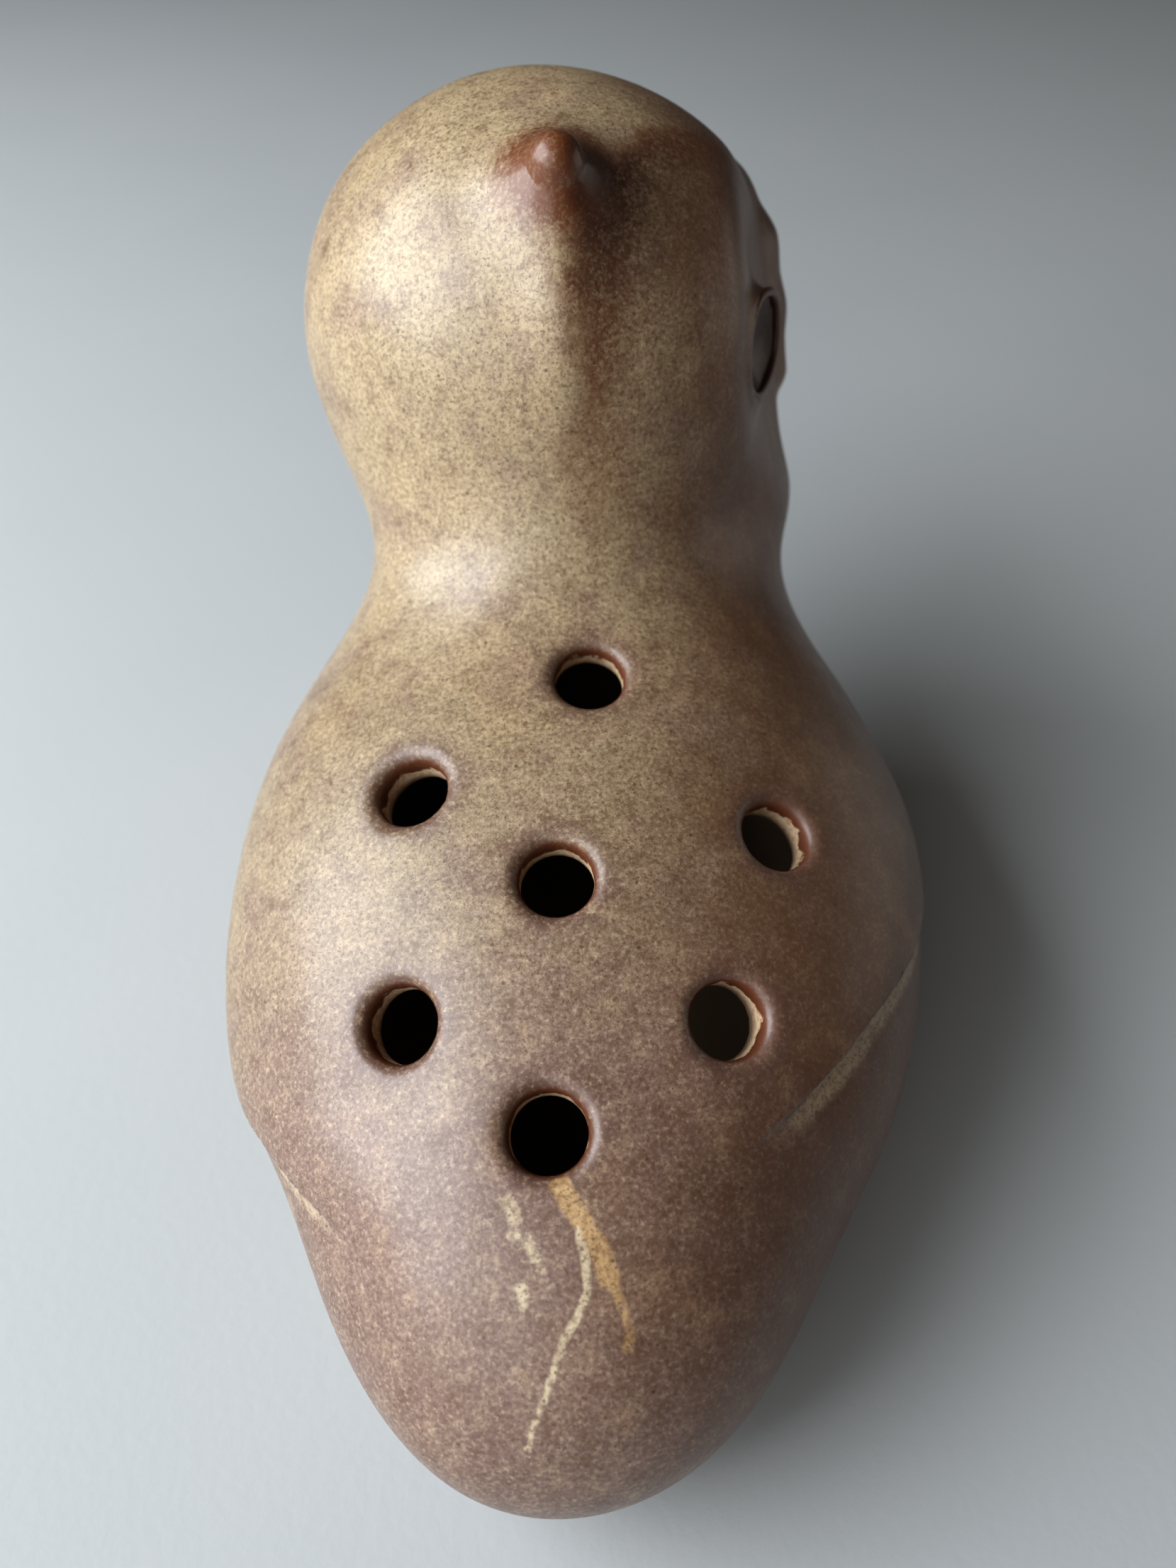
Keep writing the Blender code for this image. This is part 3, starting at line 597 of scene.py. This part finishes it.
def hole_clearance(points):
    """Distance from the nearest hole's wall."""
    clear = np.full(len(points), FAR)
    for centre, out in FINGER_BORES + THUMB_BORES:
        local = points - centre
        height = local @ out
        away = np.sqrt(np.maximum(np.sum(local**2, axis=1) - height**2, 0.0)) - BORE / 2.0
        clear = np.where(np.abs(height) < WALL * 2.0, np.minimum(clear, away), clear)
    return clear


def wing_band(points):
    """1 in the groove just below each wing's lower edge, fading to 0 at 3 mm from it."""
    band = np.zeros(len(points))
    for side in WINGS:
        above, share = above_wing_edge(points, side)
        band = np.maximum(band, share * ramp(above, *WING_GROOVE) * ramp(above, *WING_PALE))
    return band


def ahead_of_ridge(points):
    """Distance from the nearer ridge's line towards the face, less over the crown, and negative behind."""
    ahead = {}
    for side in (1, -1):
        aside, along = ridge_place(points, side)
        ahead[side] = aside * side - CROWN_FALL * np.maximum(-along, 0.0)
    on_right = (points - HEAD_CENTRE) @ HEAD_RIGHT > 0.0
    return np.where(on_right, ahead[1], ahead[-1])


def ridge_distance(points):
    """Distance from the tufts' ridges."""
    near = np.full(len(points), FAR)
    for side in (1, -1):
        aside, along = ridge_place(points, side)
        near = np.minimum(near, np.abs(aside) + 0.5 * np.maximum(along - 30.0, 0.0) + np.maximum(-along, 0.0))
    return near


def mark_surface(mesh, points):
    """Writes the distances that the glaze depends on as attributes, in millimetres."""
    near_tuft = np.min([ball_distance(points, tip, 0.0) for _, tip in TUFTS.values()], axis=0)
    near_eye = np.min([ball_distance(points, rim, 0.0) for rim, _ in EYES], axis=0)
    thick = np.minimum(line_distance(points, THICK_RUN) - 0.75, line_distance(points, THICK_RUN_TAIL) - 0.2)
    marks = {
        "depth": -outside_distance(points),
        "hole": hole_clearance(points),
        "wing": wing_band(points),
        "tuft": near_tuft,
        "ridge": ridge_distance(points),
        "ahead": ahead_of_ridge(points),
        "eye": near_eye,
        "thick_run": thick,
        "thin_run": line_distance(points, THIN_RUN) - 0.25,
        "drips": np.min([line_distance(points, drip) for drip in SIDE_DRIPS], axis=0) - 0.35,
        "hairline": line_distance(points, HAIRLINE),
    }
    for name, values in marks.items():
        mesh.attributes.new(name, "FLOAT", "POINT").data.foreach_set("value", values.astype(np.float32))


# ---------------------------------------------------------------------------------------------------------
# Materials
# ---------------------------------------------------------------------------------------------------------


class Shader:
    """Short names for adding nodes to one material."""

    def __init__(self, name):
        self.material = bpy.data.materials.new(name)
        self.material.use_nodes = True
        self.tree = self.material.node_tree
        self.surface = self.tree.nodes["Principled BSDF"]
        self.place = self.add("ShaderNodeTexCoord").outputs["Object"]

    def add(self, kind, **settings):
        node = self.tree.nodes.new(kind)
        for name, value in settings.items():
            setattr(node, name, value)
        return node

    def plug(self, value, socket):
        """Links an output to a socket, or sets the socket to a plain value."""
        if isinstance(value, bpy.types.NodeSocket):
            self.tree.links.new(value, socket)
        else:
            socket.default_value = value

    def mark(self, name):
        return self.add("ShaderNodeAttribute", attribute_name=name).outputs["Fac"]

    def math(self, operation, first, second=0.0):
        node = self.add("ShaderNodeMath", operation=operation)
        self.plug(first, node.inputs[0])
        self.plug(second, node.inputs[1])
        return node.outputs[0]

    def product(self, first, second):
        return self.math("MULTIPLY", first, second)

    def plus(self, first, second):
        return self.math("ADD", first, second)

    def unevenness(self, size, reach, detail=2.0, roughness=0.5):
        """Noise about zero, of this size and of this reach in all, in millimetres."""
        return self.product(self.math("SUBTRACT", self.noise(size, detail, roughness), 0.5), reach)

    def noise(self, size, detail=2.0, roughness=0.5):
        """Noise with features of about this size in millimetres, from 0 to 1."""
        node = self.add("ShaderNodeTexNoise")
        node.inputs["Scale"].default_value = 1.0 / (size * MM)
        node.inputs["Detail"].default_value = detail
        node.inputs["Roughness"].default_value = roughness
        self.plug(self.place, node.inputs["Vector"])
        return node.outputs["Fac"]

    def cells(self, size):
        """Distance from the middle of scattered cells of about this size in millimetres."""
        node = self.add("ShaderNodeTexVoronoi")
        node.inputs["Scale"].default_value = 1.0 / (size * MM)
        self.plug(self.place, node.inputs["Vector"])
        return node.outputs["Distance"]

    def fade(self, value, start, end):
        """0 up to start and 1 from end, smooth between. With start above end it falls instead."""
        node = self.add("ShaderNodeMapRange", interpolation_type="SMOOTHSTEP")
        self.plug(value, node.inputs["Value"])
        low, high = min(start, end), max(start, end)
        node.inputs["From Min"].default_value = low
        node.inputs["From Max"].default_value = high
        node.inputs["To Min"].default_value = 0.0 if start < end else 1.0
        node.inputs["To Max"].default_value = 1.0 if start < end else 0.0
        return node.outputs["Result"]

    def mix(self, share, first, second):
        """A colour between two, each an output or three numbers."""
        node = self.add("ShaderNodeMix", data_type="RGBA")
        self.plug(share, node.inputs["Factor"])
        for value, socket in ((first, node.inputs[6]), (second, node.inputs[7])):
            self.plug(value if isinstance(value, bpy.types.NodeSocket) else (*value, 1.0), socket)
        return node.outputs[2]

    def between(self, share, first, second):
        """A number between two."""
        return self.math("ADD", self.math("MULTIPLY", share, second - first), first)

    def axis(self, name):
        separate = self.add("ShaderNodeSeparateXYZ")
        self.plug(self.place, separate.inputs[0])
        return self.math("DIVIDE", separate.outputs[name], MM)

    def bump(self, height, depth, under=None):
        """A bump of this depth in millimetres, on top of another."""
        node = self.add("ShaderNodeBump")
        node.inputs["Distance"].default_value = depth * MM
        self.plug(height, node.inputs["Height"])
        if under is not None:
            self.plug(under, node.inputs["Normal"])
        return node.outputs["Normal"]

    def finish(self, colour, roughness, normal, coat=0.0, coat_roughness=0.31):
        self.plug(colour, self.surface.inputs["Base Color"])
        self.plug(roughness, self.surface.inputs["Roughness"])
        self.plug(normal, self.surface.inputs["Normal"])
        self.plug(coat, self.surface.inputs["Coat Weight"])
        self.plug(coat_roughness, self.surface.inputs["Coat Roughness"])
        return self.material


GOLDEN_TAN = (0.42, 0.315, 0.185)
OLIVE_TAN = (0.33, 0.245, 0.145)
MAUVE_BROWN = (0.215, 0.13, 0.105)
HALO_BROWN = (0.13, 0.065, 0.050)
DEEP_BROWN = (0.11, 0.039, 0.013)
FLECK_BROWN = (0.11, 0.055, 0.028)
RUST = (0.14, 0.036, 0.006)
DEEP_RUST = (0.13, 0.035, 0.010)
# Near black iron red, used for the painted shade before the tufts and in the eye cups
DARK_RUST_SHADE = (0.040, 0.010, 0.005)
WARM_TAN = (0.50, 0.30, 0.14)
CREAM = (0.74, 0.60, 0.40)
PEACH = (0.58, 0.41, 0.25)
PALE_ORANGE = (0.58, 0.36, 0.16)
BUFF_CLAY = (0.62, 0.46, 0.30)
TOASTED_CLAY = (0.46, 0.29, 0.16)
SANDY_CLAY = (0.48, 0.33, 0.21)
# Painted shade for the clay deep inside the chamber
CHAMBER_SHADE_CLAY = (0.20, 0.13, 0.08)
SPECK_DARK = (0.045, 0.022, 0.012)
FLOOR_GREY = (0.46, 0.48, 0.48)
FLOOR_PALE_GREY = (0.50, 0.51, 0.51)
WINDOW_LIGHT = (0.90, 0.95, 1.0)
ROOM_LIGHT = (0.95, 0.97, 1.0)
WALL_LIGHT = (1.0, 0.93, 0.85)
FILL_LIGHT = (0.92, 0.86, 0.78)


def glaze_ground(shader):
    """The broad colours, golden on the head, olive behind it and mauve to the tail, and the share of the
    right side, whose deep brown and red are partly the glaze's own and partly painted shade.
    """
    x, y = shader.axis("X"), shader.axis("Y")
    drift = shader.unevenness(24.0, 50.0, 3.0, 0.6)
    along = shader.plus(y, drift)
    head_share = shader.fade(along, 16.0, 46.0)
    tail_share = shader.fade(along, 10.0, -34.0)
    across = shader.plus(x, shader.product(drift, 0.4))
    # The right side, turned from the window light: its deep brown and red patches are partly the glaze's own
    # colour and partly painted shade.
    shaded_right_share = shader.fade(across, -3.0, 25.0)
    colour = shader.mix(head_share, OLIVE_TAN, GOLDEN_TAN)
    colour = shader.mix(shader.product(tail_share, 0.90), colour, MAUVE_BROWN)
    red_and_shade_share = shader.product(shaded_right_share, shader.fade(shader.noise(14.0, 3.0, 0.6), 0.20, 0.56))
    colour = shader.mix(shader.product(shaded_right_share, 0.82), colour, DEEP_BROWN)
    head_red_and_shade = shader.product(red_and_shade_share, head_share)
    colour = shader.mix(shader.product(head_red_and_shade, 0.8), colour, DEEP_RUST)
    patches = shader.fade(shader.noise(8.0, 4.0, 0.65), 0.46, 0.66)
    patches = shader.product(patches, shader.between(shaded_right_share, 0.50, 0.25))
    colour = shader.mix(patches, colour, MAUVE_BROWN)
    thin = shader.fade(shader.noise(13.0, 4.0, 0.6), 0.48, 0.70)
    colour = shader.mix(shader.product(thin, 0.15), colour, WARM_TAN)
    return colour, shaded_right_share


def glaze_marks(shader, colour):
    """Colour round the holes and along the wings, and the runs near the tail."""
    ragged = shader.unevenness(1.6, 2.6, 3.0, 0.6)
    halo = shader.fade(shader.plus(shader.mark("hole"), shader.product(ragged, 1.2)), 4.0, 0.4)
    colour = shader.mix(shader.product(halo, 0.75), colour, HALO_BROWN)
    band = shader.fade(shader.plus(shader.mark("wing"), shader.product(ragged, 0.15)), 0.2, 0.9)
    colour = shader.mix(shader.product(band, 0.38), colour, CREAM)
    fine = shader.product(ragged, 0.32)
    thick = shader.fade(shader.plus(shader.mark("thick_run"), fine), 0.5, -0.1)
    colour = shader.mix(shader.product(thick, 0.85), colour, PALE_ORANGE)
    thin = shader.fade(shader.plus(shader.mark("thin_run"), shader.product(fine, 0.5)), 0.30, 0.0)
    colour = shader.mix(shader.product(thin, 0.85), colour, CREAM)
    drips = shader.fade(shader.plus(shader.mark("drips"), ragged), 0.5, -0.3)
    colour = shader.mix(shader.product(drips, 0.75), colour, CREAM)
    hair = shader.fade(shader.plus(shader.mark("hairline"), shader.product(fine, 0.4)), 0.22, 0.08)
    return shader.mix(shader.product(hair, 0.8), colour, SPECK_DARK)


def glaze_speckle(shader, colour, red_and_shade_share):
    """Soft clouds in the glaze, its grain, and fine iron specks, with less of the pale on the right side,
    which is red and partly painted shade.
    """
    clouds = shader.noise(3.2, 5.0, 0.65)
    pale = shader.product(shader.fade(clouds, 0.50, 0.72), shader.between(red_and_shade_share, 0.30, 0.11))
    colour = shader.mix(pale, colour, PEACH)
    colour = shader.mix(shader.product(shader.fade(clouds, 0.50, 0.28), 0.50), colour, DEEP_BROWN)
    grain = shader.noise(0.50, 4.0, 0.75)
    pale = shader.product(shader.fade(grain, 0.48, 0.78), shader.between(red_and_shade_share, 0.50, 0.13))
    colour = shader.mix(pale, colour, CREAM)
    colour = shader.mix(shader.product(shader.fade(grain, 0.54, 0.32), 0.62), colour, FLECK_BROWN)
    specks = shader.fade(shader.noise(0.38, 3.0, 0.7), 0.56, 0.64)
    colour = shader.mix(shader.product(specks, 0.72), colour, FLECK_BROWN)
    spots = shader.fade(shader.cells(2.6), 0.09, 0.05)
    return shader.mix(shader.product(spots, 0.6), colour, SPECK_DARK)


def iron_marks(shader, colour):
    """Iron red on the ear tufts, iron red with painted shade before their ridges on the side turned from the
    window light, near black painted shade right before the tufts, and dark eye cups that are partly painted
    shade.
    """
    ragged = shader.unevenness(1.1, 9.0, 5.0, 0.75)
    flecks = shader.fade(shader.noise(0.55, 4.0, 0.75), 0.66, 0.42)
    near_tuft = shader.plus(shader.mark("tuft"), ragged)
    wander = shader.unevenness(7.0, 10.0, 2.0)
    before = shader.plus(shader.plus(shader.mark("ahead"), ragged), wander)
    # Partly painted shade: iron red in a band before each ridge, on the side turned from the window light.
    rust_and_shade_streak = shader.product(shader.fade(before, -2.0, 2.5), shader.fade(before, 10.0, 2.5))
    rust_and_shade_streak = shader.product(rust_and_shade_streak, shader.fade(near_tuft, 46.0, 18.0))
    rust_and_shade_streak = shader.product(rust_and_shade_streak, shader.between(flecks, 0.20, 0.80))
    colour = shader.mix(rust_and_shade_streak, colour, RUST)
    tuft = shader.product(shader.fade(near_tuft, 9.5, 4.5), shader.between(flecks, 0.65, 0.97))
    colour = shader.mix(tuft, colour, RUST)
    # Painted shade: near black iron red right before each tuft, on the side turned from the window light,
    # where the tuft's shadow falls.
    painted_tuft_shade = shader.product(shader.fade(before, -1.0, 5.0), shader.fade(near_tuft, 22.0, 5.0))
    painted_tuft_shade = shader.product(painted_tuft_shade, shader.between(flecks, 0.70, 0.97))
    colour = shader.mix(painted_tuft_shade, colour, DARK_RUST_SHADE)
    # The eye cups are made near black: partly dark glaze, partly painted shade in the hollows.
    eye = shader.fade(shader.plus(shader.mark("eye"), shader.product(ragged, 0.1)), 6.6, 5.2)
    return shader.mix(shader.product(eye, shader.between(flecks, 0.60, 0.92)), colour, DARK_RUST_SHADE)


def stoneware_glaze(name):
    """Satin speckled glaze outside, running out to bare clay a little way down each hole, with the clay
    deeper in painted dark as the shade inside the chamber.
    """
    shader = Shader(name)
    ground, red_and_shade_share = glaze_ground(shader)
    glazed = iron_marks(shader, glaze_speckle(shader, glaze_marks(shader, ground), red_and_shade_share))
    ragged = shader.unevenness(2.2, 5.0, 4.0, 0.6)
    depth = shader.plus(shader.mark("depth"), ragged)
    stain = shader.fade(shader.mark("depth"), 0.4, 1.1)
    bare = shader.product(shader.fade(depth, 1.9, 2.4), shader.fade(shader.mark("depth"), 0.7, 1.1))
    colour = shader.mix(shader.product(stain, 0.85), glazed, DEEP_RUST)
    clay = shader.mix(shader.fade(shader.noise(0.5, 3.0), 0.4, 0.7), BUFF_CLAY, TOASTED_CLAY)
    # Painted shade: deeper in, the clay darkens towards the dark of the chamber, where little light reaches.
    clay = shader.mix(shader.fade(shader.mark("depth"), WALL - 2.2, WALL - 0.6), clay, CHAMBER_SHADE_CLAY)
    colour = shader.mix(bare, colour, clay)
    sheen = shader.between(shader.noise(3.0, 3.0, 0.6), 0.42, 0.62)
    roughness_mix = shader.add("ShaderNodeMix")
    shader.plug(bare, roughness_mix.inputs["Factor"])
    shader.plug(sheen, roughness_mix.inputs["A"])
    roughness_mix.inputs["B"].default_value = 0.9
    normal = shader.bump(shader.noise(5.0, 2.0), 0.10)
    normal = shader.bump(shader.noise(0.9, 2.0, 0.6), 0.035, normal)
    normal = shader.bump(shader.noise(0.32, 2.0, 0.6), 0.022, normal)
    coat = shader.between(bare, 0.50, 0.0)
    coat_roughness = shader.between(shader.fade(shader.mark("tuft"), 11.0, 5.0), 0.31, 0.21)
    return shader.finish(colour, roughness_mix.outputs["Result"], normal, coat, coat_roughness)


def bare_clay():
    """Unglazed buff stoneware, matt and gritty."""
    shader = Shader("bare_clay")
    grit = shader.noise(0.6, 4.0, 0.7)
    colour = shader.mix(shader.fade(grit, 0.35, 0.7), BUFF_CLAY, SANDY_CLAY)
    specks = shader.fade(shader.cells(1.4), 0.16, 0.08)
    colour = shader.mix(shader.product(specks, 0.5), colour, SPECK_DARK)
    normal = shader.bump(shader.noise(2.5, 3.0), 0.12)
    normal = shader.bump(grit, 0.05, normal)
    return shader.finish(colour, shader.between(grit, 0.82, 0.95), normal)


# ---------------------------------------------------------------------------------------------------------
# Pieces
# ---------------------------------------------------------------------------------------------------------


def build_pieces():
    """Cuts the fired body into the pieces that stand for the CAD's clay pieces."""
    clay = clay_mesh()
    back_y = np.array((0.0, 1.0, 0.0))
    tail_point = np.array((0.0, TAIL_CUT_Y, 0.0))
    behind_tail, before_tail = (tail_point, -back_y), (tail_point, back_y)
    above_neck, below_neck = (NECK_POINT, NECK_UP), (NECK_POINT, -NECK_UP)
    above_seam, below_seam = (BODY[0], SEAM_UP), (BODY[0], -SEAM_UP)
    before_face, behind_face = (FACE_POINT, FACING), (FACE_POINT, -FACING)
    plans = (
        ("back", (below_seam, above_neck, behind_tail), ("back_shell", "right_wing", "left_wing")),
        ("belly", (above_seam, above_neck, behind_tail), ("belly_shell",)),
        ("tail", (before_tail,), ("tail_mouthpiece",)),
        ("head", (below_neck, before_face), ("head_back_shell", "right_ear_tuft", "left_ear_tuft")),
        ("face", (below_neck, behind_face), ("head_face_shell", "beak")),
    )
    for place, cuts, nodes in plans:
        piece = piece_of(clay, "glazed_" + place, cuts)
        piece.data.materials.append(stoneware_glaze("glazed_" + place))
        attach(piece, "root")
        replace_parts(piece, *nodes)
    bpy.data.meshes.remove(clay)


def eye_rim(name, rim, out):
    """The thin raised rim of an eye, a roll of clay with the slight unevenness of the hand."""
    form = bmesh.new()
    first = unit(np.cross(out, CROWN))
    second = np.cross(out, first)
    around, tube = RIM_STEPS
    rings = []
    for turn in np.arange(around) * 2.0 * math.pi / around:
        direction = first * math.cos(turn) + second * math.sin(turn)
        radius = EYE_RING_RADIUS * (1.0 + 0.02 * math.sin(2.0 * turn + 0.7) + 0.01 * math.sin(5.0 * turn))
        thickness = EYE_RING_TUBE * (1.0 + 0.15 * math.sin(3.0 * turn + 1.0))
        ring = []
        for roll in np.arange(tube) * 2.0 * math.pi / tube:
            offset = direction * math.cos(roll) + out * math.sin(roll)
            point = rim + direction * radius + offset * thickness
            ring.append(form.verts.new((point + FOOT) * MM))
        rings.append(ring)
    for index, ring in enumerate(rings):
        following = rings[(index + 1) % around]
        for step in range(tube):
            after = (step + 1) % tube
            form.faces.new((ring[step], following[step], following[after], ring[after]))
    bmesh.ops.recalc_face_normals(form, faces=form.faces)
    mesh = bpy.data.meshes.new(name)
    form.to_mesh(mesh)
    form.free()
    mesh.polygons.foreach_set("use_smooth", [True] * len(mesh.polygons))
    mark_surface(mesh, points_of(mesh))
    mesh.materials.append(stoneware_glaze(name))
    piece = bpy.data.objects.new(name, mesh)
    bpy.context.scene.collection.objects.link(piece)
    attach(piece, "root")
    return piece


def build_eye_rims():
    for side, (rim, out) in zip(("right", "left"), EYES):
        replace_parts(eye_rim(side + "_eye_rim", rim, out), side + "_eye_ring")


def dress_carried_nodes():
    """The CAD nodes that stay: the coils over the seams inside, and the labium."""
    clay = bare_clay()
    for name in ("body_seam_coil", "neck_seam_coil", "head_seam_coil", "labium"):
        node = frame["nodes"][name]
        node.data.materials.clear()
        node.data.materials.append(clay)


# ---------------------------------------------------------------------------------------------------------
# Floor, light and camera
# ---------------------------------------------------------------------------------------------------------


def floor():
    bpy.ops.mesh.primitive_plane_add(size=4.0, location=FOOT * MM)
    plane = bpy.context.object
    plane.name = "floor"
    shader = Shader("pale_floor")
    colour = shader.mix(shader.noise(60.0, 2.0), FLOOR_GREY, FLOOR_PALE_GREY)
    plane.data.materials.append(shader.finish(colour, 0.8, shader.bump(shader.noise(1.5, 3.0), 0.04)))


def aim(item, target):
    direction = Vector(target) - item.location
    item.rotation_euler = direction.to_track_quat("-Z", "Y").to_euler()


def area_light(name, place, target, size, power, colour):
    data = bpy.data.lights.new(name, "AREA")
    data.shape = "RECTANGLE"
    data.size, data.size_y = size
    data.energy = power
    data.color = colour
    light = bpy.data.objects.new(name, data)
    light.location = place
    bpy.context.scene.collection.objects.link(light)
    aim(light, target)


def lights():
    middle = (CAD_BOX[0] + CAD_BOX[1]) / 2
    area_light("window", middle + Vector((-0.50, -0.09, 0.34)), middle, (0.62, 0.50), 6.8, WINDOW_LIGHT)
    area_light("room", middle + Vector((-0.28, -0.50, 0.28)), middle, (0.50, 0.50), 1.4, ROOM_LIGHT)
    area_light("far_wall", middle + Vector((0.50, 0.14, 0.04)), middle, (0.40, 0.30), 0.28, WALL_LIGHT)
    world = bpy.data.worlds.new("studio")
    world.use_nodes = True
    background = world.node_tree.nodes["Background"]
    background.inputs["Color"].default_value = (*FILL_LIGHT, 1.0)
    background.inputs["Strength"].default_value = 0.05
    bpy.context.scene.world = world


CAMERA_TILT = math.radians(47.0)  # below the horizon
CAMERA_PLACE = np.array((1.5, -81.8, 145.7))
CAMERA_LENS, SENSOR = 28.09, 36.0  # the sensor's size is along the image's long side


def camera():
    data = bpy.data.cameras.new("camera")
    data.lens = CAMERA_LENS
    data.sensor_width = SENSOR
    data.clip_start = 0.005
    item = bpy.data.objects.new("camera", data)
    item.location = (CAMERA_PLACE + FOOT) * MM
    item.rotation_euler = (math.pi / 2.0 - CAMERA_TILT, 0.0, 0.0)
    bpy.context.scene.collection.objects.link(item)
    focus = bpy.data.objects.new("focus", None)
    focus.location = (FINGER_BORES[3][0] + FOOT) * MM
    bpy.context.scene.collection.objects.link(focus)
    data.dof.use_dof = True
    data.dof.focus_object = focus
    data.dof.aperture_fstop = 16.0
    bpy.context.scene.camera = item


bpy.context.scene.view_settings.view_transform = "Standard"
bpy.context.scene.view_settings.look = "Medium High Contrast"
build_pieces()
build_eye_rims()
dress_carried_nodes()
floor()
lights()
camera()
